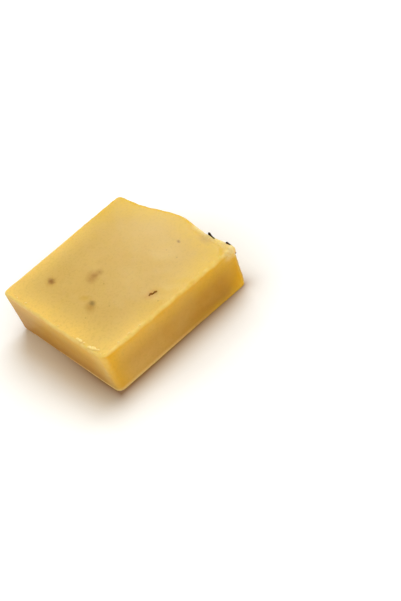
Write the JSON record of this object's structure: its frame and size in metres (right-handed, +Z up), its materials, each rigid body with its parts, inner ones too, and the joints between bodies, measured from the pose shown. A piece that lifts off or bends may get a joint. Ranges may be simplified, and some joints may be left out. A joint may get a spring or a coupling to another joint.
{
  "type": "bar of soap",
  "caption": "Slice of handmade soap with flat cut faces, worn edges and a wavy crust set with dried needles and petals.",
  "frame": {"origin": "on the lower cut face, at the middle of the slice's nominal outline, where the bar rests on a table", "axes": "+Z up through the thickness, +Y from the loaf's floor to its crust, +X across the loaf"},
  "size_m": [0.0801, 0.0837, 0.0268],
  "materials": {
    "soap": "waxy, satin, slightly translucent",
    "dried_needle": "dry, matt",
    "dried_petal": "papery, matt"
  },
  "bodies": {
    "root": {"soap_bar": "soap", "dried_needles": "dried_needle", "dried_petals": "dried_petal"}
  },
  "joints": []
}
